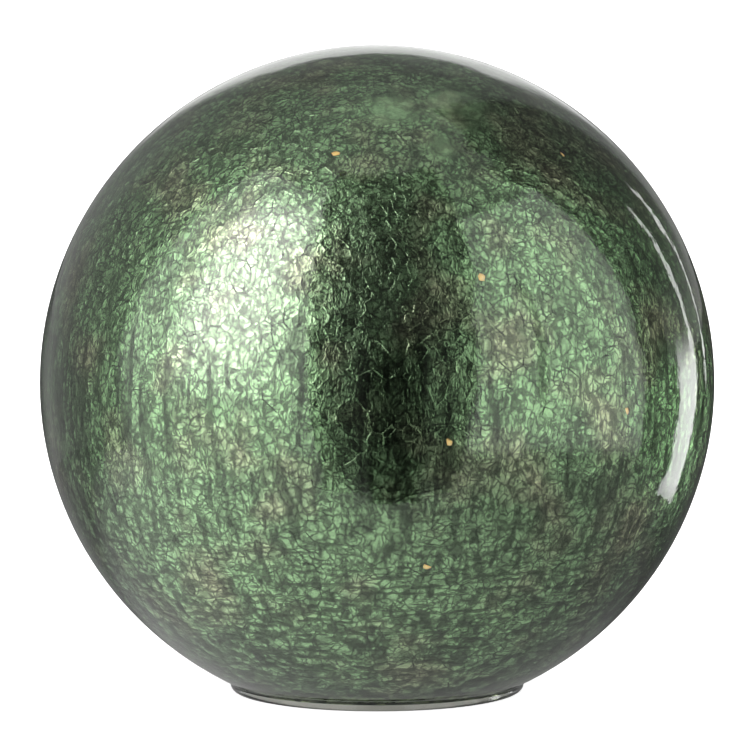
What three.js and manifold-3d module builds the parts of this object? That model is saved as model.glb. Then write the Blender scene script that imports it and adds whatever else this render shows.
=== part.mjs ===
// A light-up ball of silvered crackle glass, standing on its own short clear foot.
// The ball is a blown shell, open at the foot. A plastic base fills the foot's opening: it holds
// three AAA cells under a screwed door, and a slide switch.
// Millimetres, +Z up. The origin is the centre of the foot, on the surface it stands on.
import * as THREE from "three";
import { mergeVertices } from "three/addons/utils/BufferGeometryUtils.js";
import Module from "manifold-3d";

const wasm = await Module();
wasm.setup();

// Driving dimensions of the glass
const ballDiameter = 200;
const crownRise = 100; // from the widest level to the top
const bellyDrop = 99.2; // from the widest level to the pole that the foot cuts off
const wall = 3.5;
const footDiameter = 87.6;
const footRise = 2.8; // where the belly would meet the foot, above the table
const footWall = 4.3;
const lipRound = 2; // outer edge of the foot
const lipEase = 0.8; // inner edge of the foot
const footFillet = 0.9; // hollow corner between belly and foot

// Driving dimensions of the base
const glueGap = 0.4; // between the base and the glass around it
const fitGap = 0.3; // between pieces that meet
const baseRecess = 1.2; // the base sits this far above the table
const basePlate = 3.4;
const baseChamfer = 0.5;
const shellWall = 1.6; // plastic walls above the plate
const bayShift = 5; // the bay is off centre, to leave room for the switch
const stringBossRadius = 3.2;
const stringBossHeight = 6;

// Three AAA cells, side by side
const cellDiameter = 10.5;
const cellLength = 44.5;
const cellCount = 3;
const springRoom = 4; // contacts at the two ends
const cellPlay = 1;

// Driving dimensions of the door and its screw
const doorLap = 1.9; // how far the door reaches past the bay
const doorThickness = 2;
const doorCorner = 2.5;
const tabRadius = 4.2;
const tabReach = 2; // the tab's centre, past the door's end
const screwRadius = 1.1;
const screwLength = 6.5;
const screwHeadRadius = 2.2;
const screwHeadHeight = 1;
const screwBossWall = 1.6;
const driveWidth = 0.6;
const driveDepth = 0.5;
const gripCount = 5;
const gripLength = 12;
const gripWidth = 0.8;
const gripPitch = 2;
const gripDepth = 0.6;

// Driving dimensions of the slide switch
const switchShift = 26; // from the base's centre
const switchTravel = 3;
const knobLength = 4.5;
const knobWidth = 3;
const knobInset = 0.3; // the knob ends this far inside the base's underside
const ribDepth = 0.4;
const ribWidth = 0.5;
const ribCount = 3;
const sliderLength = 8;
const sliderWidth = 6;
const sliderThickness = 1.2;
const wellMargin = 3; // finger room around the slot
const wellDepth = 1.4;

// Steps along the curves
const ringSegments = 64;
const crownSteps = 13;
const bellySteps = 9;
const lipSteps = 4;
const smallSegments = 24;

// Worked out from the above
const ballRadius = ballDiameter / 2;
const footRadius = footDiameter / 2;
const openingRadius = footRadius - footWall;
const bellyShare = Math.sqrt(1 - (footRadius / ballRadius) ** 2);
const centreHeight = footRise + bellyDrop * bellyShare; // the widest level
const baseRadius = openingRadius - glueGap;
const bayLength = cellLength + springRoom;
const bayWidth = cellDiameter * cellCount + cellPlay;
const bayDepth = cellDiameter + cellPlay;
const doorLength = bayLength + 2 * doorLap;
const doorWidth = bayWidth + 2 * doorLap;
const doorTop = baseRecess + doorThickness;
const bayFloor = doorTop + fitGap; // where the bay opens onto the door's seat
const bayTop = bayFloor + bayDepth;
const tubTop = bayTop + shellWall;
const plateTop = baseRecess + basePlate;
const tabX = doorLength / 2 + tabReach;
const screwTop = baseRecess + fitGap + screwHeadHeight + screwLength;
const screwBossTop = screwTop + fitGap + shellWall;
const wellTop = baseRecess + wellDepth;
const sliderBottom = plateTop + fitGap;
const sliderTop = sliderBottom + sliderThickness;
const pocketTop = sliderTop + fitGap;
const slotLength = knobLength + switchTravel + 2 * fitGap;
const slotWidth = knobWidth + 2 * fitGap;
const pocketLength = sliderLength + switchTravel + 2 * fitGap;
const pocketWidth = sliderWidth + 2 * fitGap;

// A closed three.js geometry as a solid that can be joined and cut.
function solid(geometry) {
  const bare = geometry.clone();
  bare.deleteAttribute("normal");
  bare.deleteAttribute("uv");
  const merged = mergeVertices(bare, 1e-4);
  return new wasm.Manifold(
    new wasm.Mesh({
      numProp: 3,
      vertProperties: merged.attributes.position.array,
      triVerts: new Uint32Array(merged.index.array),
    }),
  );
}

function mesh(name, made, material) {
  const { vertProperties, triVerts } = made.getMesh();
  const geometry = new THREE.BufferGeometry()
    .setAttribute("position", new THREE.BufferAttribute(vertProperties, 3))
    .setIndex(new THREE.BufferAttribute(triVerts, 1));
  geometry.computeVertexNormals();
  const named = new THREE.Mesh(geometry, material);
  named.name = name;
  return named;
}

// A box between two levels, centred at x, y.
function block(length, width, low, high, x = 0, y = 0) {
  const box = new THREE.BoxGeometry(length, width, high - low);
  return solid(box.translate(x, y, (low + high) / 2));
}

// An upright round post between two levels. topRadius makes it a cone.
function post(radius, low, high, x = 0, y = 0, topRadius = radius) {
  const cylinder = new THREE.CylinderGeometry(
    topRadius,
    radius,
    high - low,
    smallSegments,
  );
  return solid(cylinder.rotateX(Math.PI / 2).translate(x, y, (low + high) / 2));
}

// A rectangle with round corners, between two levels.
function roundedBlock(length, width, corner, low, high, x = 0, y = 0) {
  const [right, top] = [length / 2 - corner, width / 2 - corner];
  const outline = new THREE.Shape();
  outline.absarc(right, top, corner, 0, Math.PI / 2);
  outline.absarc(-right, top, corner, Math.PI / 2, Math.PI);
  outline.absarc(-right, -top, corner, Math.PI, 1.5 * Math.PI);
  outline.absarc(right, -top, corner, 1.5 * Math.PI, 2 * Math.PI);
  const plate = new THREE.ExtrudeGeometry(outline, {
    depth: high - low,
    bevelEnabled: false,
    curveSegments: lipSteps,
  });
  return solid(plate.translate(x, y, low));
}

// A profile of (radius, height) points turned about the upright axis.
function turned(profile, segments) {
  const lathe = new THREE.LatheGeometry(
    profile.map(([r, z]) => new THREE.Vector2(r, z)),
    segments,
  );
  return solid(lathe.rotateX(Math.PI / 2));
}

function arc(cx, cy, rx, ry, from, to, steps) {
  const clockwise = to < from;
  const curve = new THREE.EllipseCurve(cx, cy, rx, ry, from, to, clockwise);
  return curve.getPoints(steps).map((p) => [p.x, p.y]);
}

// Half a section through the glass: up the outside from the lip, and down the inside.
function glassProfile() {
  const quarter = Math.PI / 2;
  const onBelly = (r) =>
    centreHeight - bellyDrop * Math.sqrt(1 - (r / ballRadius) ** 2);
  const inside = ballRadius - wall;
  const filletRadius = footRadius + footFillet;
  const fillet = new THREE.QuadraticBezierCurve(
    new THREE.Vector2(footRadius, onBelly(footRadius) - footFillet / 2),
    new THREE.Vector2(footRadius, onBelly(footRadius)),
    new THREE.Vector2(filletRadius, onBelly(filletRadius)),
  );
  const outerStart = -Math.acos(filletRadius / ballRadius);
  const innerEnd = -Math.acos(openingRadius / inside);
  return [
    ...arc(
      openingRadius + lipEase,
      lipEase,
      lipEase,
      lipEase,
      Math.PI,
      1.5 * Math.PI,
      lipSteps,
    ),
    ...arc(
      footRadius - lipRound,
      lipRound,
      lipRound,
      lipRound,
      -quarter,
      0,
      lipSteps,
    ),
    ...fillet.getPoints(lipSteps).map((p) => [p.x, p.y]),
    ...arc(0, centreHeight, ballRadius, bellyDrop, outerStart, 0, bellySteps).slice(1),
    ...arc(0, centreHeight, ballRadius, crownRise, 0, quarter, crownSteps).slice(1),
    ...arc(0, centreHeight, inside, crownRise - wall, quarter, 0, crownSteps),
    ...arc(0, centreHeight, inside, bellyDrop - wall, 0, innerEnd, bellySteps).slice(1),
  ];
}

function glassBall() {
  const profile = glassProfile();
  return turned([...profile, profile[0]], ringSegments);
}

// The door's outline, a rectangle with a round tab for the screw, grown by a gap.
function doorOutline(gap, low, high) {
  const plate = roundedBlock(
    doorLength + 2 * gap,
    doorWidth + 2 * gap,
    doorCorner + gap,
    low,
    high,
    0,
    -bayShift,
  );
  const bridge = block(
    tabX - doorLength / 4,
    2 * (tabRadius + gap),
    low,
    high,
    (tabX + doorLength / 4) / 2,
    -bayShift,
  );
  return plate
    .add(bridge)
    .add(post(tabRadius + gap, low, high, tabX, -bayShift));
}

// The plate that fills the foot's opening, with its lower edge chamfered.
function plateDisc() {
  return turned(
    [
      [0, baseRecess],
      [baseRadius - baseChamfer, baseRecess],
      [baseRadius, baseRecess + baseChamfer],
      [baseRadius, plateTop],
      [0, plateTop],
    ],
    ringSegments,
  );
}

function batteryBase() {
  const below = baseRecess - fitGap;
  const bossRadius = screwRadius + fitGap + screwBossWall;
  const tub = block(
    bayLength + 2 * shellWall,
    bayWidth + 2 * shellWall,
    baseRecess + basePlate / 2,
    tubTop,
    0,
    -bayShift,
  );
  const pocket = block(
    pocketLength + 2 * shellWall,
    pocketWidth + 2 * shellWall,
    baseRecess + basePlate / 2,
    pocketTop + shellWall,
    0,
    switchShift,
  );
  const body = plateDisc()
    .add(tub)
    .add(pocket)
    .add(post(bossRadius, plateTop - fitGap, screwBossTop, tabX, -bayShift))
    .add(
      post(
        stringBossRadius,
        tubTop - fitGap,
        tubTop + stringBossHeight,
        0,
        -bayShift,
        stringBossRadius / 2,
      ),
    );
  return body
    .subtract(doorOutline(fitGap, below, bayFloor))
    .subtract(block(bayLength, bayWidth, baseRecess, bayTop, 0, -bayShift))
    .subtract(post(screwRadius + fitGap, below, screwTop + fitGap, tabX, -bayShift))
    .subtract(
      roundedBlock(
        slotLength + 2 * wellMargin,
        slotWidth + 2 * wellMargin,
        doorCorner,
        below,
        wellTop,
        0,
        switchShift,
      ),
    )
    .subtract(block(slotLength, slotWidth, below, pocketTop, 0, switchShift))
    .subtract(
      block(pocketLength, pocketWidth, plateTop, pocketTop, 0, switchShift),
    );
}

function batteryDoor() {
  const below = baseRecess - fitGap;
  const seat = baseRecess + screwHeadHeight + 2 * fitGap;
  let door = doorOutline(0, baseRecess, doorTop)
    .subtract(post(screwHeadRadius + fitGap, below, seat, tabX, -bayShift))
    .subtract(post(screwRadius + fitGap, below, doorTop + fitGap, tabX, -bayShift));
  for (let i = 0; i < gripCount; i += 1) {
    const x = -doorLength / 2 + gripPitch * (i + 2);
    door = door.subtract(
      block(gripWidth, gripLength, below, baseRecess + gripDepth, x, -bayShift),
    );
  }
  return door;
}

function doorScrew() {
  const headBottom = baseRecess + fitGap;
  const headTop = headBottom + screwHeadHeight;
  const slot = 2 * (screwHeadRadius - driveWidth);
  const driveTop = headBottom + driveDepth;
  return post(screwHeadRadius, headBottom, headTop, tabX, -bayShift)
    .add(post(screwRadius, headTop - fitGap, screwTop, tabX, -bayShift))
    .subtract(block(slot, driveWidth, baseRecess, driveTop, tabX, -bayShift))
    .subtract(block(driveWidth, slot, baseRecess, driveTop, tabX, -bayShift));
}

// Off is at the left end of the slot, where the switch rests.
function switchKnob() {
  const x = -switchTravel / 2;
  const knobBottom = baseRecess + knobInset;
  let knob = block(knobLength, knobWidth, knobBottom, sliderTop, x, switchShift).add(
    block(sliderLength, sliderWidth, sliderBottom, sliderTop, x, switchShift),
  );
  for (let i = 0; i < ribCount; i += 1) {
    const grooveX = x + (i - (ribCount - 1) / 2) * 2 * ribWidth;
    knob = knob.subtract(
      block(
        ribWidth,
        knobWidth + fitGap,
        baseRecess,
        knobBottom + ribDepth,
        grooveX,
        switchShift,
      ),
    );
  }
  return knob;
}

const crackleGlass = new THREE.MeshStandardMaterial({
  color: 0x6f9579,
  roughness: 0.12,
  metalness: 0.85,
});
const basePlastic = new THREE.MeshStandardMaterial({
  color: 0xe4e2da,
  roughness: 0.5,
  metalness: 0,
});
const doorPlastic = basePlastic.clone();
const screwSteel = new THREE.MeshStandardMaterial({
  color: 0xa9aaa8,
  roughness: 0.35,
  metalness: 1,
});
const switchPlastic = new THREE.MeshStandardMaterial({
  color: 0x1d1e1f,
  roughness: 0.45,
  metalness: 0,
});

const lightBall = new THREE.Group();
lightBall.add(
  mesh("glass_ball", glassBall(), crackleGlass),
  mesh("battery_base", batteryBase(), basePlastic),
  mesh("battery_door", batteryDoor(), doorPlastic),
  mesh("door_screw", doorScrew(), screwSteel),
  mesh("switch_knob", switchKnob(), switchPlastic),
);

export default lightBall;
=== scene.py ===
import math
import random

import bpy
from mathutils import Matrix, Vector, noise


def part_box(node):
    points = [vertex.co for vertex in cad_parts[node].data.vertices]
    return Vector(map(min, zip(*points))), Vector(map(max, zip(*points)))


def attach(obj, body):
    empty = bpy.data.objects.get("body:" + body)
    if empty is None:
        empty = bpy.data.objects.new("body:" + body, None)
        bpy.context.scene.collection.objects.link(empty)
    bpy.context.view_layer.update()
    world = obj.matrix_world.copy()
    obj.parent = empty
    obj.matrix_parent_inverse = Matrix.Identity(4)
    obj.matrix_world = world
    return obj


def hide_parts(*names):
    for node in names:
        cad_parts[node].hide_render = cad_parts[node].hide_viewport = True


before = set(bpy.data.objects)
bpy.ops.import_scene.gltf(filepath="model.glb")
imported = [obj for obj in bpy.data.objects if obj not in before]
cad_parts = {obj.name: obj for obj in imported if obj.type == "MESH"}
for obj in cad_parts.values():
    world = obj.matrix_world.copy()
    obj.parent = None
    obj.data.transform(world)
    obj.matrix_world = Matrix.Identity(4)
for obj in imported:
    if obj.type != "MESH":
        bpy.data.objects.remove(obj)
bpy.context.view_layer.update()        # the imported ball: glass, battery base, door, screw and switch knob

MM = 0.001
SEED = 20
noise.seed_set(SEED)  # noise_vector changes from run to run without it

# The glass, as it is blown
glass_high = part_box("glass_ball")[1]
base_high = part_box("battery_base")[1]
BALL_RADIUS = glass_high.x
WALL = 3.5 * MM
GLUE_GAP = 0.4 * MM
FOOT_WALL = 4.3 * MM
OPENING_RADIUS = base_high.x + GLUE_GAP
FOOT_RADIUS = OPENING_RADIUS + FOOT_WALL
CROWN_RISE = 100 * MM
CENTRE_HEIGHT = glass_high.z - CROWN_RISE
BELLY_DROP = 99.2 * MM
LIP_ROUND = 2 * MM
LIP_EASE = 0.8 * MM
FOOT_FILLET = 0.9 * MM
CENTRE = Vector((0, 0, CENTRE_HEIGHT))
INNER_RADIUS = BALL_RADIUS - WALL
NECK_HEIGHT = CENTRE_HEIGHT - (BELLY_DROP - WALL) * math.sqrt(
    1 - (OPENING_RADIUS / INNER_RADIUS) ** 2
)
SILVER_END = 1.7 * MM  # the silvering stops this far above the table

# How finely the smooth outside is drawn: flat sides around it, and steps along each stretch
SIDES = 144
EASE_STEPS = 5
LIP_STEPS = 8
FILLET_STEPS = 6
BELLY_STEPS = 30
CROWN_STEPS = 42

# The crackle: cells about 4.6 mm across, taller than wide, with a shallow groove around each
CELL_FINENESS = 6  # subdivisions of the ball of points that it starts from
CELL_JITTER = 2 * MM
DROPPED_SHARE = 0.47  # of those points, and how far noise raises and lowers that
DROPPED_DRIFT = 0.25
CELL_SQUAT = 0.72  # the cells are laid out on a ball squashed to this, which makes them tall
CELL_TILT = 0.045 * MM  # how far a cell's corner may lie off the smooth wall
GROOVE_WIDTH = 0.2 * MM
GROOVE_DEPTH = 0.02 * MM
CELL_SHOULDER = 0.35 * MM
CELL_PULL = 5 * MM  # how far smooth noise drags the cells along the wall, and its pitch
CELL_PULL_PITCH = 19 * MM
PULL_TRIES = 8
# A smooth island is smooth to this share of its radius, and cracks grow over the next share
CALM_CORE = 0.5
CALM_FADE = 0.7
CALM_CRAZING = 0.15  # what is left of the ripples in its middle

# The string of lamps: drops of resin along a copper wire, each behind a window in the silvering
WINDOW_INSET = 0.4 * MM
WINDOW_RADIUS = 1.25 * MM
WINDOW_UNEVEN = (0.7, 1.2)  # least and most share of that radius at a corner
DROP_LENGTH = 3.6 * MM
DROP_WIDTH = 2.9 * MM
DROP_DEPTH = 1.3 * MM
DROP_GAP = 0.5 * MM  # from the silvering to a drop
WIRE_RADIUS = 0.22 * MM
WIRE_GAP = 0.9 * MM  # from the silvering to the wire's middle, past the depth of a drop
WIRE_BOW = 0.07  # how far the wire bows inwards between lamps, as a share of its depth
WIRE_STEP = 8 * MM
WIRE_IN_BOSS = 2 * MM
WIRE_RISE = 6 * MM
WIRE_ARCH = 8 * MM
STRING_EXIT = Vector((0, -5 * MM, 22.6 * MM))  # where it leaves the boss of the battery base

# The photograph's view
IMAGE_SIDE = 750
SENSOR = 36.0
CAMERA_DISTANCE = 1.4
CAMERA_ELEVATION = math.radians(5.25)
BALL_PIXELS = 337.5  # the ball's radius in the picture
BALL_PIXEL_X, BALL_PIXEL_Y = 377.1, 382.3

# Lamps that show through the silvering, in the picture's pixels
LAMP_PIXELS = ((559, 158), (337, 160), (477, 281), (446, 439), (425, 561), (621, 410))
# Places on a spiral down the ball, of which those on the far side get a lamp. Heights and depths
# are shares of the radius
SPIRAL_PLACES = 14
SPIRAL_TOP = 0.85
SPIRAL_DROP = 1.55
SPIRAL_START = 0.9
FAR_SIDE = -0.2
# Smooth islands near the top, where the glass didn't crack, in pixels, with their radii
CALM_PIXELS = ((392, 112, 9 * MM), (455, 110, 11 * MM), (441, 152, 5 * MM))
# More of them around the back: their heights as shares of the radius, and turns in degrees
HIDDEN_CALM = 5
HIDDEN_CALM_HEIGHTS = (0.78, 0.62, 0.84)
HIDDEN_CALM_START = 20
HIDDEN_CALM_TURN = 30
HIDDEN_CALM_RADIUS = 8 * MM  # the first's, and each next is 1 mm less

# The studio: a round board so wide that its far edge is the horizon
FLOOR_RADIUS = 40


def linear(code):
    """An sRGB hex colour as linear red, green, blue and alpha."""
    channels = [int(code[i : i + 2], 16) / 255 for i in (1, 3, 5)]
    bent = [c / 12.92 if c <= 0.04045 else ((c + 0.055) / 1.055) ** 2.4 for c in channels]
    return (*bent, 1.0)


def add(tree, kind, inputs=None, **settings):
    """Adds a shader node with its settings. An input is a value, a socket, or a node's first one.

    A Map Range node's inputs 1 to 4 are the limits that it maps from and those that it maps to."""
    made = tree.nodes.new("ShaderNode" + kind)
    for name, value in settings.items():
        setattr(made, name, value)
    for name, value in (inputs or {}).items():
        if isinstance(value, bpy.types.Node):
            value = value.outputs[0]
        if isinstance(value, bpy.types.NodeSocket):
            tree.links.new(value, made.inputs[name])
        else:
            made.inputs[name].default_value = value
    return made


def finish_named(name, **values):
    """A new material, its node tree, and its Principled shader with plain values set on it."""
    material = bpy.data.materials.new(name)
    material.use_nodes = True
    tree = material.node_tree
    shader = tree.nodes["Principled BSDF"]
    for socket, value in values.items():
        shader.inputs[socket.replace("_", " ")].default_value = value
    return material, tree, shader


def millimetres(tree):
    """Where the surface is on the object, in millimetres."""
    place = add(tree, "TexCoord").outputs["Object"]
    return add(tree, "VectorMath", {0: place, "Scale": 1000.0}, operation="SCALE")


# Soda-lime glass, blown in the air: colourless and wet-bright, with the slow waves of the blowing
# and a fine unevenness where the crackle works through, which breaks up sharp reflections
def clear_blown_glass():
    material, tree, shader = finish_named(
        "clear_blown_glass", Roughness=0.04, IOR=1.5, Transmission_Weight=1.0
    )
    shader.inputs["Base Color"].default_value = linear("#fbfdfa")
    place = millimetres(tree)
    wave = add(tree, "TexNoise", {"Vector": place, "Scale": 1 / 18, "Detail": 1.0})
    print_through = add(tree, "TexNoise", {"Vector": place, "Scale": 1 / 3, "Detail": 2.0})
    height = add(tree, "Math", {0: print_through, 1: 0.14, 2: wave}, operation="MULTIPLY_ADD")
    bump = add(tree, "Bump", {"Height": height, "Strength": 1.0, "Distance": 0.3 * MM})
    tree.links.new(bump.outputs[0], shader.inputs["Normal"])
    return material


# Silver laid down from solution on the crackled inside, under a green lacquer tint: a dark, soft
# mirror with olive clouds, runs where the solution drained, and a thin dark line along each crack
def green_silvering():
    material, tree, shader = finish_named("green_silvering", Metallic=1.0)
    place = millimetres(tree)
    height = add(tree, "SeparateXYZ", {0: place}).outputs["Z"]
    drift = add(tree, "TexNoise", {"Vector": place, "Scale": 1 / 4, "Detail": 3.0})
    offset = add(
        tree, "VectorMath", {0: drift.outputs["Color"], 1: (0.5, 0.5, 0.5)}, operation="SUBTRACT"
    )
    warped = add(
        tree, "VectorMath", {0: offset, 1: (4.0, 4.0, 4.0), 2: place}, operation="MULTIPLY_ADD"
    )
    bent = add(
        tree, "VectorMath", {0: offset, 1: (1.5, 1.5, 1.5), 2: place}, operation="MULTIPLY_ADD"
    )
    patchy = add(tree, "TexNoise", {"Vector": place, "Scale": 1 / 7, "Detail": 2.0})

    # The modelled cracks, some of them faint
    modelled = add(tree, "Attribute", attribute_name="crack").outputs["Fac"]
    open_share = add(tree, "MapRange", {0: patchy, 1: 0.4, 2: 0.56, 3: 0.9, 4: 0.05})
    cut = add(tree, "Math", {0: modelled, 1: open_share}, operation="MULTIPLY")
    lines = cut
    # Finer cracks between them, in patches: one net of tall cells and one of flat ones, 2 mm apart
    for squash, low, high in (((1.0, 1.0, 0.5), 0.42, 0.52), ((0.5, 0.5, 1.0), 0.55, 0.46)):
        squashed = add(tree, "Mapping", {0: warped, "Scale": squash})
        net = add(
            tree, "TexVoronoi", {"Vector": squashed, "Scale": 1 / 2}, feature="DISTANCE_TO_EDGE"
        )
        line = add(tree, "MapRange", {0: net, 1: 0.02, 2: 0.13, 3: 0.8, 4: 0.0})
        patch = add(tree, "MapRange", {0: patchy, 1: low, 2: high})
        line = add(tree, "Math", {0: line, 1: patch}, operation="MULTIPLY")
        lines = add(tree, "Math", {0: lines, 1: line}, operation="MAXIMUM")
    # A crack around each smooth island
    crazing = add(tree, "Attribute", attribute_name="crazing").outputs["Fac"]
    from_edge = add(tree, "Math", {0: crazing, 1: 0.5}, operation="SUBTRACT")
    off_edge = add(tree, "Math", {0: from_edge}, operation="ABSOLUTE")
    edge = add(tree, "MapRange", {0: off_edge, 1: 0.02, 2: 0.06, 3: 1.0, 4: 0.0})
    lines = add(tree, "Math", {0: lines, 1: edge}, operation="MAXIMUM")

    # Ripples: short ones that stand on the upper part, and long flat ones on the lowest
    across_place = add(tree, "Mapping", {0: bent, "Scale": (0.13, 0.13, 1.0)})
    across = add(tree, "TexNoise", {"Vector": across_place, "Scale": 1.0, "Detail": 3.0})
    down_place = add(tree, "Mapping", {0: warped, "Scale": (0.8, 0.8, 0.3)})
    down = add(tree, "TexNoise", {"Vector": down_place, "Scale": 1.0, "Detail": 3.0})
    lower = add(tree, "MapRange", {0: height, 1: 75.0, 2: 45.0})
    ripple = add(tree, "Mix", {0: lower, 2: down, 3: across})
    swell = add(tree, "TexNoise", {"Vector": place, "Scale": 1 / 12, "Detail": 1.0})
    stroke = add(tree, "MapRange", {0: ripple, 1: 0.5, 2: 0.62, 3: 0.0, 4: 0.75})
    cut = add(tree, "Math", {0: cut, 1: stroke}, operation="MAXIMUM")
    rippled = add(tree, "Math", {0: ripple, 1: 0.13}, operation="MULTIPLY")
    grooved = add(tree, "Math", {0: cut, 1: -0.065, 2: rippled}, operation="MULTIPLY_ADD")
    crazed = add(tree, "Math", {0: grooved, 1: crazing}, operation="MULTIPLY")
    relief = add(tree, "Math", {0: swell, 1: 0.4, 2: crazed}, operation="MULTIPLY_ADD")
    bump = add(tree, "Bump", {"Height": relief, "Strength": 1.0, "Distance": MM})
    tree.links.new(bump.outputs[0], shader.inputs["Normal"])

    # The tint: green with olive clouds, and olive at the neck
    clouds = add(tree, "TexNoise", {"Vector": warped, "Scale": 1 / 20, "Detail": 4.0})
    olive = add(tree, "MapRange", {0: clouds, 1: 0.5, 2: 0.72})
    neck = add(tree, "MapRange", {0: height, 1: 9.0, 2: 3.0, 3: 0.0, 4: 0.8})
    olive = add(tree, "Math", {0: olive, 1: neck}, operation="MAXIMUM")
    tint = add(
        tree, "Mix", {0: olive, 6: linear("#9bc190"), 7: linear("#b8c09b")}, data_type="RGBA"
    ).outputs[2]
    # Where the tint is darker: runs, thin spots, the neck, and then the cracks and ripples
    run_place = add(tree, "Mapping", {0: bent, "Scale": (0.3, 0.3, 0.02)})
    runs = add(tree, "TexNoise", {"Vector": run_place, "Scale": 1.0, "Detail": 2.0})
    run_share = add(tree, "MapRange", {0: height, 1: 140.0, 2: 105.0, 3: 0.15, 4: 0.68})
    run = add(tree, "MapRange", {0: runs, 1: 0.5, 2: 0.6, 4: run_share})
    thin = add(tree, "MapRange", {0: drift, 1: 0.46, 2: 0.6, 3: 0.0, 4: 0.42})
    run = add(tree, "Math", {0: run, 1: thin}, operation="MAXIMUM")
    run = add(tree, "Math", {0: neck, 1: 0.7, 2: run}, operation="MULTIPLY_ADD", use_clamp=True)
    crazed_lines = add(tree, "Math", {0: lines, 1: crazing}, operation="MULTIPLY")
    strokes = add(tree, "Math", {0: stroke, 1: crazing}, operation="MULTIPLY")
    dark = add(tree, "Math", {0: crazed_lines, 1: 0.95}, operation="MULTIPLY")
    dark = add(tree, "Math", {0: dark, 1: strokes}, operation="MAXIMUM")
    for share in (run, dark):
        tint = add(
            tree, "Mix", {0: share, 6: tint, 7: linear("#1a2417")}, data_type="RGBA"
        ).outputs[2]
    tree.links.new(tint, shader.inputs["Base Color"])
    haze = add(tree, "MapRange", {0: patchy, 1: 0.35, 2: 0.7, 3: 0.14, 4: 0.26})
    tree.links.new(haze.outputs[0], shader.inputs["Roughness"])
    return material


def deselect():
    """Leaves edit mode, with nothing selected."""
    if bpy.context.object and bpy.context.object.mode != "OBJECT":
        bpy.ops.object.mode_set(mode="OBJECT")
    bpy.ops.object.select_all(action="DESELECT")


def arc(centre, radii, start, end, steps):
    """Points (radius, height) on part of an ellipse."""
    turns = [start + (end - start) * i / steps for i in range(steps + 1)]
    return [
        (centre[0] + radii[0] * math.cos(t), centre[1] + radii[1] * math.sin(t)) for t in turns
    ]


def foot_fillet(level):
    """The hollow corner where the belly meets the foot, and the angle at which the belly starts."""
    wide = FOOT_RADIUS + FOOT_FILLET
    start = -math.acos(wide / BALL_RADIUS)
    low, corner = (FOOT_RADIUS, level - FOOT_FILLET / 2), (FOOT_RADIUS, level)
    high = (wide, CENTRE_HEIGHT + BELLY_DROP * math.sin(start))
    points = []
    for i in range(FILLET_STEPS + 1):
        t = i / FILLET_STEPS
        weights = ((1 - t) ** 2, 2 * t * (1 - t), t * t)
        points.append(
            tuple(sum(w * c[k] for w, c in zip(weights, (low, corner, high))) for k in (0, 1))
        )
    return points, start


def outside_profile():
    """Half a section: down the foot's opening, around the lip, and up over the ball."""
    quarter = math.pi / 2
    level = CENTRE_HEIGHT - BELLY_DROP * math.sqrt(1 - (FOOT_RADIUS / BALL_RADIUS) ** 2)
    fillet, start = foot_fillet(level)
    inner_lip = (OPENING_RADIUS + LIP_EASE, LIP_EASE)
    outer_lip = (FOOT_RADIUS - LIP_ROUND, LIP_ROUND)
    return [
        (OPENING_RADIUS, (NECK_HEIGHT + SILVER_END) / 2),
        (OPENING_RADIUS, SILVER_END),
        *arc(inner_lip, (LIP_EASE, LIP_EASE), math.pi, 1.5 * math.pi, EASE_STEPS),
        *arc(outer_lip, (LIP_ROUND, LIP_ROUND), -quarter, 0, LIP_STEPS),
        *fillet,
        *arc((0, CENTRE_HEIGHT), (BALL_RADIUS, BELLY_DROP), start, 0, BELLY_STEPS)[1:],
        *arc((0, CENTRE_HEIGHT), (BALL_RADIUS, CROWN_RISE), 0, quarter, CROWN_STEPS)[1:],
    ]


def outside_shell():
    """The outside, drawn point by point and spun about the upright axis."""
    deselect()
    bpy.ops.mesh.primitive_plane_add(size=MM)
    shell = bpy.context.object
    profile = outside_profile()
    bpy.ops.object.mode_set(mode="EDIT")
    bpy.ops.mesh.merge(type="CENTER")
    bpy.ops.transform.translate(value=(profile[0][0], 0, profile[0][1]))
    for (r0, z0), (r1, z1) in zip(profile, profile[1:]):
        bpy.ops.mesh.extrude_region_move(TRANSFORM_OT_translate={"value": (r1 - r0, 0, z1 - z0)})
    bpy.ops.mesh.select_all(action="SELECT")
    bpy.ops.mesh.spin(steps=SIDES, angle=2 * math.pi, center=(0, 0, 0), axis=(0, 0, 1))
    bpy.ops.mesh.select_all(action="SELECT")
    bpy.ops.mesh.remove_doubles(threshold=MM / 1000)
    bpy.ops.object.mode_set(mode="OBJECT")
    return shell


def onto_inside(co):
    """The point of the shell's inside that lies the same way from the centre."""
    way = co - CENTRE
    rise = (CROWN_RISE if way.z > 0 else BELLY_DROP) - WALL
    stretch = Vector((way.x / INNER_RADIUS, way.y / INNER_RADIUS, way.z / rise)).length
    return CENTRE + way / stretch


def camera_axes():
    """The camera's right, up and backward directions."""
    sin, cos = math.sin(CAMERA_ELEVATION), math.cos(CAMERA_ELEVATION)
    return Vector((1, 0, 0)), Vector((0, sin, cos)), Vector((0, -cos, sin))


def way_of_pixel(x, y):
    """The direction from the ball's centre to the point of the ball that a pixel shows."""
    right, up, back = camera_axes()
    across = (x - BALL_PIXEL_X) / BALL_PIXELS
    above = (BALL_PIXEL_Y - y) / BALL_PIXELS
    depth = math.sqrt(1 - across**2 - above**2)
    return right * across + up * above + back * depth


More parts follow.
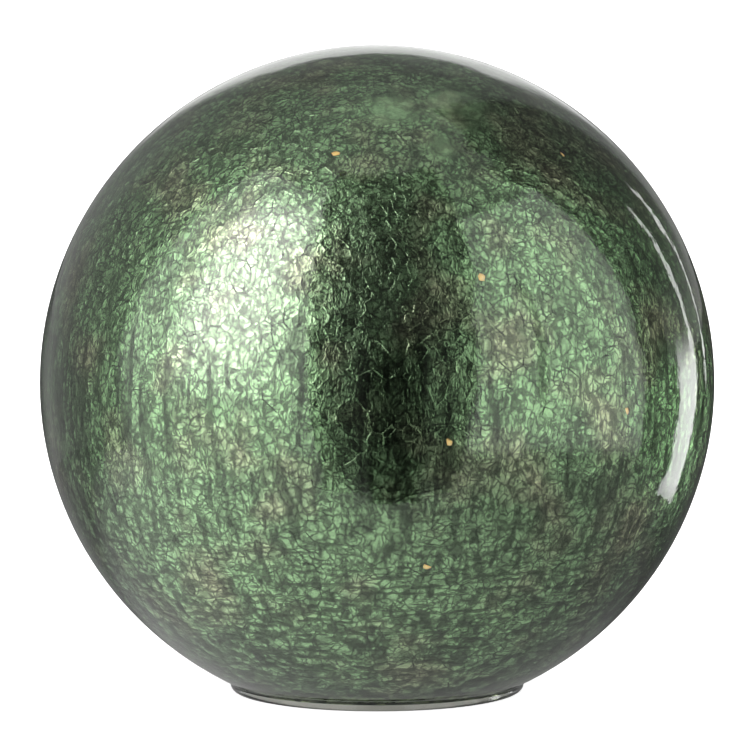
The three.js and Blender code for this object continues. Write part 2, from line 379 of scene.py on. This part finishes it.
def lamp_ways():
    """The directions of all lamps: those in the picture, then some spread over the far side."""
    ways = [way_of_pixel(x, y).normalized() for x, y in LAMP_PIXELS]
    golden = math.pi * (3 - math.sqrt(5))
    for i in range(SPIRAL_PLACES):
        z = SPIRAL_TOP - SPIRAL_DROP * (i + 0.5) / SPIRAL_PLACES
        r = math.sqrt(1 - z * z)
        turn = i * golden + SPIRAL_START
        way = Vector((r * math.cos(turn), r * math.sin(turn), z))
        if way.y > FAR_SIDE:
            ways.append(way)
    return ways


def calm_islands():
    """The smooth islands as points of the inside with their radii, around the crown."""
    islands = [(onto_inside(CENTRE + way_of_pixel(x, y)), r) for x, y, r in CALM_PIXELS]
    for i in range(HIDDEN_CALM):
        turn = math.radians(HIDDEN_CALM_START + HIDDEN_CALM_TURN * i)
        z = HIDDEN_CALM_HEIGHTS[i % len(HIDDEN_CALM_HEIGHTS)]
        r = math.sqrt(1 - z * z)
        way = Vector((r * math.cos(turn), r * math.sin(turn), z))
        islands.append((onto_inside(CENTRE + way), HIDDEN_CALM_RADIUS - i * MM))
    return islands


def crackle_at(co, islands):
    """How cracked the glass is there, from 0 in the middle of a smooth island to 1."""
    share = 1.0
    for middle, radius in islands:
        share = min(share, max(0.0, (co - middle).length / radius - CALM_CORE) / CALM_FADE)
    return share


def dual_mesh(shell):
    """Turns each corner of a triangle mesh into a cell, with Blender's Dual Mesh node."""
    group = bpy.data.node_groups.new("cells", "GeometryNodeTree")
    group.interface.new_socket("Geometry", in_out="INPUT", socket_type="NodeSocketGeometry")
    group.interface.new_socket("Geometry", in_out="OUTPUT", socket_type="NodeSocketGeometry")
    start = group.nodes.new("NodeGroupInput")
    dual = group.nodes.new("GeometryNodeDualMesh")
    end = group.nodes.new("NodeGroupOutput")
    group.links.new(start.outputs[0], dual.inputs[0])
    group.links.new(dual.outputs[0], end.inputs[0])
    modifier = shell.modifiers.new("cells", "NODES")
    modifier.node_group = group
    bpy.ops.object.modifier_apply(modifier="cells")
    bpy.data.node_groups.remove(group)


def pull_at(co):
    """How far the cells near a point are dragged, so that they stretch and lean this way and that."""
    return noise.noise_vector(co / CELL_PULL_PITCH) * CELL_PULL


def scattered_centres(lamps):
    """A ball of loose points, one for each cell, with one of them exactly at each lamp."""
    deselect()
    bpy.ops.mesh.primitive_ico_sphere_add(subdivisions=CELL_FINENESS, radius=INNER_RADIUS)
    shell = bpy.context.object
    rng = random.Random(SEED)
    bpy.ops.object.mode_set(mode="EDIT")
    bpy.ops.mesh.select_all(action="SELECT")
    bpy.ops.transform.vertex_random(offset=CELL_JITTER, uniform=1.0, seed=SEED)
    bpy.ops.mesh.select_all(action="DESELECT")
    bpy.ops.object.mode_set(mode="OBJECT")
    for v in shell.data.vertices:
        v.select = rng.random() < DROPPED_SHARE + DROPPED_DRIFT * noise.noise(v.co / CELL_PULL_PITCH)
    bpy.ops.object.mode_set(mode="EDIT")
    bpy.ops.mesh.delete(type="VERT")
    bpy.ops.object.mode_set(mode="OBJECT")
    corners = shell.data.vertices
    # The point that the pull will bring to the lamp, found by trying again from the last try
    for way in lamps:
        spot = way * INNER_RADIUS
        for _ in range(PULL_TRIES):
            spot = way * INNER_RADIUS - pull_at(spot)
        near = min(corners, key=lambda v: v.co.angle(spot))
        near.co = spot
    for v in corners:
        v.co = v.co.normalized() * INNER_RADIUS
        v.co.z *= CELL_SQUAT
    return shell


def cells_of(shell, islands):
    """Joins the loose points to cells on the inside, and cuts a groove around each."""
    bpy.ops.object.mode_set(mode="EDIT")
    bpy.ops.mesh.select_all(action="SELECT")
    bpy.ops.mesh.convex_hull(delete_unused=True, use_existing_faces=False, join_triangles=False)
    bpy.ops.object.mode_set(mode="OBJECT")
    dual_mesh(shell)
    rng = random.Random(SEED + 1)
    for v in shell.data.vertices:
        way = Vector((v.co.x, v.co.y, v.co.z / CELL_SQUAT))
        way += pull_at(way)
        v.co = onto_inside(CENTRE + way)
        v.co += way.normalized() * rng.uniform(-CELL_TILT, CELL_TILT)
    corner_count = len(shell.data.vertices)
    bpy.ops.object.mode_set(mode="EDIT")
    bpy.ops.mesh.select_all(action="SELECT")
    bpy.ops.mesh.normals_make_consistent(inside=False)
    bpy.ops.mesh.select_all(action="DESELECT")
    bpy.ops.mesh.select_mode(type="FACE")
    bpy.ops.object.mode_set(mode="OBJECT")
    for face in shell.data.polygons:
        face.select = crackle_at(face.center, islands) > 0.5
    bpy.ops.object.mode_set(mode="EDIT")
    bpy.ops.mesh.inset(thickness=GROOVE_WIDTH, depth=-GROOVE_DEPTH, use_individual=True)
    bpy.ops.mesh.inset(thickness=CELL_SHOULDER, depth=0, use_individual=True)
    bpy.ops.mesh.select_all(action="DESELECT")
    bpy.ops.object.mode_set(mode="OBJECT")
    # The bottoms of the grooves are the corners from before the insets
    crack = shell.data.attributes.new("crack", "FLOAT", "POINT")
    crack.data.foreach_set(
        "value",
        [
            crackle_at(v.co, islands) if v.index < corner_count else 0.0
            for v in shell.data.vertices
        ],
    )


def open_windows(shell, lamps):
    """Leaves the silvering off a spot of about 2.5 mm at each lamp."""
    # The faces of the grooves have four corners, and nearly all cells have more
    cells = [face for face in shell.data.polygons if len(face.vertices) > 4]
    spots = [onto_inside(CENTRE + way) for way in lamps]
    for spot in spots:
        near = min(cells, key=lambda f: (f.center - spot).length)
        near.select = True
    bpy.ops.object.mode_set(mode="EDIT")
    bpy.ops.mesh.inset(thickness=WINDOW_INSET, depth=0, use_individual=True)
    bpy.ops.object.mode_set(mode="OBJECT")
    corners = shell.data.vertices
    rng = random.Random(SEED + 2)
    for face in shell.data.polygons:
        if face.select:
            middle = face.center.copy()
            spot = min(spots, key=lambda s: (s - middle).length)
            for i in face.vertices:
                reach = WINDOW_RADIUS * rng.uniform(*WINDOW_UNEVEN)
                corners[i].co = spot + (corners[i].co - middle).normalized() * reach
    for face in shell.data.polygons:
        face.material_index = 0 if face.select else 1


def inside_shell(lamps, islands, finishes):
    """The crackled, silvered inside, open at the neck."""
    shell = scattered_centres(lamps)
    cells_of(shell, islands)
    for material in finishes:
        shell.data.materials.append(material)
    open_windows(shell, lamps)
    bpy.ops.object.mode_set(mode="EDIT")
    bpy.ops.mesh.select_all(action="SELECT")
    bpy.ops.mesh.bisect(plane_co=(0, 0, NECK_HEIGHT), plane_no=(0, 0, 1), clear_inner=True)
    bpy.ops.object.mode_set(mode="OBJECT")
    return shell


def glass_ball(lamps):
    """The closed shell: smooth clear outside, crackled and silvered inside, clear lip.

    The two are bridged in the neck, where the silvering goes on down to SILVER_END."""
    islands = calm_islands()
    outside = outside_shell()
    finishes = (clear_blown_glass(), green_silvering())
    for material in finishes:
        outside.data.materials.append(material)
    inside = inside_shell(lamps, islands, finishes)
    deselect()
    inside.select_set(True)
    outside.select_set(True)
    bpy.context.view_layer.objects.active = outside
    bpy.ops.object.join()
    ball = bpy.context.object
    ball.name = "glass_ball_shell"
    bpy.ops.object.mode_set(mode="EDIT")
    bpy.ops.mesh.select_mode(type="EDGE")
    bpy.ops.mesh.select_all(action="DESELECT")
    bpy.ops.mesh.select_non_manifold(
        extend=False,
        use_wire=False,
        use_multi_face=False,
        use_non_contiguous=False,
        use_verts=False,
    )
    bpy.ops.mesh.bridge_edge_loops()
    bpy.ops.mesh.select_all(action="SELECT")
    bpy.ops.mesh.normals_make_consistent(inside=False)
    bpy.ops.object.mode_set(mode="OBJECT")
    for face in ball.data.polygons:
        across = math.hypot(face.center.x, face.center.y)
        if across < OPENING_RADIUS + LIP_EASE / 4 and SILVER_END < face.center.z < NECK_HEIGHT:
            face.material_index = 1
    crazing = ball.data.attributes.new("crazing", "FLOAT", "POINT")
    cracked = 1 - CALM_CRAZING
    values = [CALM_CRAZING + cracked * crackle_at(v.co, islands) for v in ball.data.vertices]
    crazing.data.foreach_set("value", values)
    deselect()
    ball.select_set(True)
    bpy.context.view_layer.objects.active = ball
    bpy.ops.object.shade_smooth()
    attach(ball, "ball")
    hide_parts("glass_ball")


# Tinted resin, dripped over a small lamp that is lit low: amber, glossy, and unevenly bright
def amber_resin():
    material, tree, shader = finish_named(
        "amber_lamp_resin", Roughness=0.12, Emission_Strength=0.7
    )
    shader.inputs["Base Color"].default_value = linear("#e8b04a")
    place = millimetres(tree)
    cloud = add(tree, "TexNoise", {"Vector": place, "Scale": 1.2, "Detail": 2.0})
    glow = add(
        tree, "Mix", {0: cloud, 6: linear("#cf9a3e"), 7: linear("#fff0b4")}, data_type="RGBA"
    ).outputs[2]
    tree.links.new(glow, shader.inputs["Emission Color"])
    return material


# Copper wire, drawn and enamelled: a warm metal whose gloss changes with the enamel's thickness
def copper_wire():
    material, tree, shader = finish_named("enamelled_copper_wire", Metallic=1.0)
    shader.inputs["Base Color"].default_value = linear("#c9825a")
    place = millimetres(tree)
    enamel = add(tree, "TexNoise", {"Vector": place, "Scale": 1 / 0.5, "Detail": 3.0})
    gloss = add(tree, "MapRange", {0: enamel, 3: 0.2, 4: 0.4})
    tree.links.new(gloss.outputs[0], shader.inputs["Roughness"])
    return material


def lamp_string(ways):
    """The lamps, numbered from the lowest on, each nearest to the last. Returns their order."""
    left = sorted(ways, key=lambda way: way.z)
    route = [left.pop(0)]
    while left:
        near = max(left, key=lambda way: way.dot(route[-1]))
        left.remove(near)
        route.append(near)
    resin = amber_resin()
    depth = INNER_RADIUS - GROOVE_DEPTH - DROP_DEPTH / 2 - DROP_GAP
    for i, way in enumerate(route):
        deselect()
        bpy.ops.mesh.primitive_uv_sphere_add(segments=16, ring_count=10, radius=0.5)
        drop = bpy.context.object
        drop.scale = (DROP_LENGTH, DROP_WIDTH, DROP_DEPTH)
        drop.location = onto_inside(CENTRE + way) - way * (INNER_RADIUS - depth)
        drop.rotation_euler = way.to_track_quat("Z", "Y").to_euler()
        bpy.ops.object.transform_apply(location=True, rotation=True, scale=True)
        bpy.ops.object.shade_smooth()
        drop.name = "lamp_%02d" % (i + 1)
        drop.data.materials.append(resin)
        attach(drop, "ball")
    return route


def wire_points(route):
    """From the boss of the base up the inside, bowing inwards between lamps."""
    depth = INNER_RADIUS - GROOVE_DEPTH - DROP_DEPTH - WIRE_GAP
    first = onto_inside(CENTRE + route[0]) - route[0] * (INNER_RADIUS - depth)
    leaves = STRING_EXIT + Vector((0, 0, WIRE_RISE))
    arch = (leaves + first) / 2 + Vector((0, 0, WIRE_ARCH))
    points = [STRING_EXIT + Vector((0, 0, -WIRE_IN_BOSS)), leaves, arch, first]
    for one, two in zip(route, route[1:]):
        angle = one.angle(two)
        steps = max(3, round(angle * depth / WIRE_STEP))
        for i in range(1, steps + 1):
            share = i / steps
            parts = one * math.sin((1 - share) * angle) + two * math.sin(share * angle)
            reach = onto_inside(CENTRE + parts / math.sin(angle)) - CENTRE
            bow = 1 - WIRE_BOW * math.sin(math.pi * share) ** 2
            points.append(CENTRE + reach * (depth / INNER_RADIUS) * bow)
    return points


def lamp_wire(route):
    """One springy wire, drawn as a curve and made a mesh."""
    points = wire_points(route)
    curve = bpy.data.curves.new("lamp_wire", "CURVE")
    curve.dimensions = "3D"
    curve.bevel_depth = WIRE_RADIUS
    curve.bevel_resolution = 1
    curve.use_fill_caps = True
    spline = curve.splines.new("POLY")
    spline.points.add(len(points) - 1)
    for point, co in zip(spline.points, points):
        point.co = (*co, 1)
    wire = bpy.data.objects.new("lamp_wire", curve)
    bpy.context.scene.collection.objects.link(wire)
    deselect()
    wire.select_set(True)
    bpy.context.view_layer.objects.active = wire
    bpy.ops.object.convert(target="MESH")
    wire = bpy.context.object
    bpy.ops.object.shade_smooth()
    wire.data.materials.append(copper_wire())
    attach(wire, "ball")


# ABS, injection moulded off-white: matt, with the spark-eroded grain of its mould, drawn coarser than
# it is so that it shows, and slight clouding of the gloss where the plastic flowed
def moulded_abs():
    material, tree, shader = finish_named("moulded_white_abs", IOR=1.53)
    place = millimetres(tree)
    grain = add(tree, "TexNoise", {"Vector": place, "Scale": 1 / 0.35, "Detail": 2.0})
    flow = add(tree, "TexNoise", {"Vector": place, "Scale": 1 / 14, "Detail": 2.0})
    bump = add(tree, "Bump", {"Height": grain, "Strength": 0.6, "Distance": 0.06 * MM})
    tree.links.new(bump.outputs[0], shader.inputs["Normal"])
    gloss = add(tree, "MapRange", {0: flow, 3: 0.42, 4: 0.58})
    tree.links.new(gloss.outputs[0], shader.inputs["Roughness"])
    shade = add(
        tree, "Mix", {0: flow, 6: linear("#dedbd2"), 7: linear("#e9e7e0")}, data_type="RGBA"
    ).outputs[2]
    tree.links.new(shade, shader.inputs["Base Color"])
    return material


# Black acetal, moulded, for the switch knob: satin, worn a little brighter in places, with its grain
# drawn coarser than it is so that it shows
def satin_acetal():
    material, tree, shader = finish_named("satin_black_acetal", IOR=1.48)
    place = millimetres(tree)
    grain = add(tree, "TexNoise", {"Vector": place, "Scale": 1 / 0.3, "Detail": 2.0})
    wear = add(tree, "TexNoise", {"Vector": place, "Scale": 1 / 1.6, "Detail": 2.0})
    bump = add(tree, "Bump", {"Height": grain, "Strength": 0.5, "Distance": 0.03 * MM})
    tree.links.new(bump.outputs[0], shader.inputs["Normal"])
    gloss = add(tree, "MapRange", {0: wear, 3: 0.3, 4: 0.5})
    tree.links.new(gloss.outputs[0], shader.inputs["Roughness"])
    shade = add(
        tree, "Mix", {0: wear, 6: linear("#19191b"), 7: linear("#2a2a2d")}, data_type="RGBA"
    ).outputs[2]
    tree.links.new(shade, shader.inputs["Base Color"])
    return material


# Zinc-plated steel, turned: a cool metal with rings 0.4 mm apart around the head's middle, drawn
# coarser than they are so that they show
def zinc_plated_steel():
    material, tree, shader = finish_named("zinc_plated_steel", Metallic=1.0)
    low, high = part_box("door_screw")
    middle = (low + high) / 2
    place = add(tree, "TexCoord").outputs["Object"]
    centred = add(
        tree, "Mapping", {0: place, "Location": tuple(-middle / MM), "Scale": (1000, 1000, 1000)}
    )
    rings = add(
        tree,
        "TexWave",
        {0: centred, "Scale": 0.8, "Distortion": 0.6},
        wave_type="RINGS",
        rings_direction="Z",
    ).outputs["Fac"]
    bump = add(tree, "Bump", {"Height": rings, "Strength": 0.4, "Distance": 0.02 * MM})
    tree.links.new(bump.outputs[0], shader.inputs["Normal"])
    spots = add(tree, "TexNoise", {"Vector": centred, "Scale": 1.5, "Detail": 3.0})
    gloss = add(tree, "MapRange", {0: spots, 3: 0.22, 4: 0.42})
    tree.links.new(gloss.outputs[0], shader.inputs["Roughness"])
    shade = add(
        tree, "Mix", {0: spots, 6: linear("#a9abae"), 7: linear("#c6c6c0")}, data_type="RGBA"
    ).outputs[2]
    tree.links.new(shade, shader.inputs["Base Color"])
    return material


def finish_packed_pieces():
    """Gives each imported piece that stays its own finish."""
    plastic = moulded_abs()
    finishes = {
        "battery_base": plastic,
        "battery_door": plastic,
        "door_screw": zinc_plated_steel(),
        "switch_knob": satin_acetal(),
    }
    for name, material in finishes.items():
        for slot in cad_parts[name].material_slots:
            slot.material = material


def place_from_ball(azimuth, height, distance):
    """A point around the ball. Azimuth 0 is towards the camera, and + is to the right."""
    a = math.radians(azimuth)
    return Vector((distance * math.sin(a), -distance * math.cos(a), height))


def card_glow(name, radiance, softness, colour):
    """An even glow that fades out over part of the card's width and height."""
    material = bpy.data.materials.new(name)
    material.use_nodes = True
    tree = material.node_tree
    tree.nodes.clear()
    across = add(tree, "SeparateXYZ", {0: add(tree, "UVMap")})
    shares = []
    for axis, soft in zip("XY", softness):
        edge = add(tree, "Math", {0: across.outputs[axis], 1: 0.5}, operation="PINGPONG")
        shares.append(add(tree, "MapRange", {0: edge, 2: soft}, interpolation_type="SMOOTHSTEP"))
    share = add(tree, "Math", {0: shares[0], 1: shares[1]}, operation="MULTIPLY")
    clear = add(tree, "BsdfTransparent")
    glow = add(tree, "Emission", {"Color": linear(colour), "Strength": radiance})
    mixed = add(tree, "MixShader", {0: share, 1: clear, 2: glow})
    add(tree, "OutputMaterial", {0: mixed})
    return material


def card(name, azimuths, heights, distance, radiance, softness=(0.05, 0.05), **options):
    """A curved card around the ball, seen only in reflections. Bright ones light matt surfaces too.

    The azimuths are the edges at its foot. Its top may have others, in the option top, and its
    light a colour."""
    top = options.get("top", azimuths)
    deselect()
    bpy.ops.mesh.primitive_grid_add(x_subdivisions=16, y_subdivisions=8, size=1)
    made = bpy.context.object
    made.name = name
    for v in made.data.vertices:
        across, up = v.co.x + 0.5, v.co.y + 0.5
        left = azimuths[0] + up * (top[0] - azimuths[0])
        right = azimuths[1] + up * (top[1] - azimuths[1])
        height = heights[0] + up * (heights[1] - heights[0])
        v.co = place_from_ball(left + across * (right - left), height, distance)
    colour = options.get("colour", "#ffffff")
    made.data.materials.append(card_glow(name, radiance, softness, colour))
    made.visible_camera = False
    made.visible_shadow = False
    if radiance < 1:
        made.visible_diffuse = False


# Matt white board: even white to the camera, and clear from below so that the underside can be seen.
# It glows with painted light, and in the ball's mirror it carries painted shade: darker to the right,
# behind and far away, as in the photograph
def floor_with_painted_light():
    material, tree, shader = finish_named("floor_with_painted_light", Roughness=0.9)
    place = add(tree, "TexCoord").outputs["Object"]
    side = add(tree, "SeparateXYZ", {0: place})
    # Painted shade, for rays other than the camera's: darker to the right, behind the ball and far from it
    dim = add(tree, "MapRange", {0: side.outputs["X"], 1: -0.3, 2: 0.1, 3: 0.85, 4: 0.21})
    behind = add(tree, "MapRange", {0: side.outputs["Y"], 1: -0.05, 2: 0.06, 3: 1.0, 4: 0.2})
    dim = add(tree, "Math", {0: dim, 1: behind}, operation="MULTIPLY")
    away = add(tree, "VectorMath", {0: place}, operation="LENGTH").outputs["Value"]
    near = add(tree, "MapRange", {0: away, 1: 0.25, 2: 0.7, 3: 1.0, 4: 0.25})
    dim = add(tree, "Math", {0: dim, 1: near}, operation="MULTIPLY")
    path = add(tree, "LightPath").outputs["Is Camera Ray"]
    shade = add(tree, "Math", {0: path, 1: dim}, operation="MAXIMUM")
    tree.links.new(shade.outputs[0], shader.inputs["Base Color"])
    # Painted glow: the board shines white, evenly to the camera, and in the mirror with the painted shade,
    # brighter near the foot
    shader.inputs["Emission Color"].default_value = (1, 1, 1, 1)
    painted_glow_falloff = add(tree, "MapRange", {0: away, 1: 0.08, 2: 0.17, 3: 1.0, 4: 0.5})
    painted_glow_strength = add(tree, "Math", {0: dim, 1: painted_glow_falloff}, operation="MULTIPLY")
    glow = add(tree, "Mix", {0: path, 2: painted_glow_strength, 3: 0.85})
    tree.links.new(glow.outputs[0], shader.inputs["Emission Strength"])
    below = add(tree, "NewGeometry").outputs["Backfacing"]
    clear = add(tree, "BsdfTransparent")
    mixed = add(tree, "MixShader", {0: below, 1: shader, 2: clear})
    tree.links.new(mixed.outputs[0], tree.nodes["Material Output"].inputs["Surface"])
    material.use_transparent_shadow = False
    return material


def studio_floor():
    """The board that the ball stands on."""
    deselect()
    bpy.ops.mesh.primitive_circle_add(vertices=96, radius=FLOOR_RADIUS, fill_type="NGON")
    floor = bpy.context.object
    floor.name = "floor"
    floor.data.materials.append(floor_with_painted_light())


def studio_room():
    """The room: bright and even to the camera and the floor, and mirrored dim, paler overhead."""
    world = bpy.data.worlds.new("studio")
    bpy.context.scene.world = world
    world.use_nodes = True
    tree = world.node_tree
    background = tree.nodes["Background"]
    path = add(tree, "LightPath")
    seen = add(
        tree,
        "Math",
        {0: path.outputs["Is Camera Ray"], 1: path.outputs["Is Diffuse Ray"]},
        operation="MAXIMUM",
    )
    way = add(tree, "TexCoord").outputs["Generated"]
    rise = add(tree, "SeparateXYZ", {0: way}).outputs["Z"]
    dome = add(tree, "MapRange", {0: rise, 1: 0.72, 2: 0.95, 3: 0.31, 4: 0.58})
    strength = add(tree, "Mix", {0: seen, 2: dome, 3: 1.45})
    tree.links.new(strength.outputs[0], background.inputs["Strength"])
    background.inputs["Color"].default_value = (1, 1, 1, 1)


def camera():
    """The photograph's view, framed so that the ball falls where it does there."""
    right, up, back = camera_axes()
    focal = BALL_PIXELS * math.sqrt(CAMERA_DISTANCE**2 - BALL_RADIUS**2) / BALL_RADIUS
    per_pixel = CAMERA_DISTANCE / focal
    middle = IMAGE_SIDE / 2
    aim = (
        CENTRE
        - right * (BALL_PIXEL_X - middle) * per_pixel
        + up * (BALL_PIXEL_Y - middle) * per_pixel
    )
    deselect()
    bpy.ops.object.camera_add(location=CENTRE + back * CAMERA_DISTANCE)
    made = bpy.context.object
    made.rotation_euler = (made.location - aim).to_track_quat("Z", "Y").to_euler()
    made.data.sensor_width = SENSOR
    made.data.lens = focal * SENSOR / IMAGE_SIDE
    bpy.context.scene.camera = made


def cards():
    """Softboxes and the dark gaps between them, nearest first.

    After the name come the azimuths, the heights, the distance, the radiance and the soft share of
    the edges. Heights below 0 are under the floor's level."""
    card("lens_gap", (-4, 13), (-0.03, 0.17), 0.19, 0.02, (0.2, 0.2))
    card("front_gap", (-14, 19), (-0.06, 0.85), 0.21, 0.10, (0.06, 0.12), top=(-40, 58))
    card("back_strip", (99, 113.4), (-0.02, 0.125), 0.22, 4.2, (0.15, 0.25))
    card("softbox_core", (-68, -22), (0.06, 0.56), 0.28, 5.5, (0.35, 0.3), colour="#ffecff")
    card("left_softbox", (-86, 0), (0.07, 0.75), 0.30, 1.8, (0.12, 0.12))
    card("left_softbox_low", (-86, 0), (-0.04, 0.20), 0.31, 1.4, (0.12, 0.3))
    card("seam", (45, 50), (0.04, 0.28), 0.28, 0.6, (0.35, 0.2))
    card("right_softbox", (15, 88), (0.0, 0.50), 0.30, 1.38, (0.05, 0.06))
    card("left_wall", (-150, -60), (-0.05, 0.80), 0.36, 0.42, (0.2, 0.1))
    card("right_gap", (82, 103), (-0.05, 0.75), 0.34, 0.12, (0.12, 0.05))
    card("thin_strip", (119, 121.5), (0.08, 0.30), 0.36, 3.2, (0.2, 0.1))
    card("thin_strip_behind", (133, 135), (0.06, 0.28), 0.36, 2.4, (0.2, 0.1))
    card("high_gap", (96, 150), (0.13, 1.10), 0.38, 0.12, (0.1, 0.1))
    card("backdrop", (158, 202), (0.20, 0.50), 0.60, 1.3, (0.2, 0.2))


bpy.context.scene.view_settings.view_transform = "Standard"
camera()
studio_floor()
studio_room()
cards()
lamps = lamp_ways()
glass_ball(lamps)
lamp_wire(lamp_string(lamps))
finish_packed_pieces()
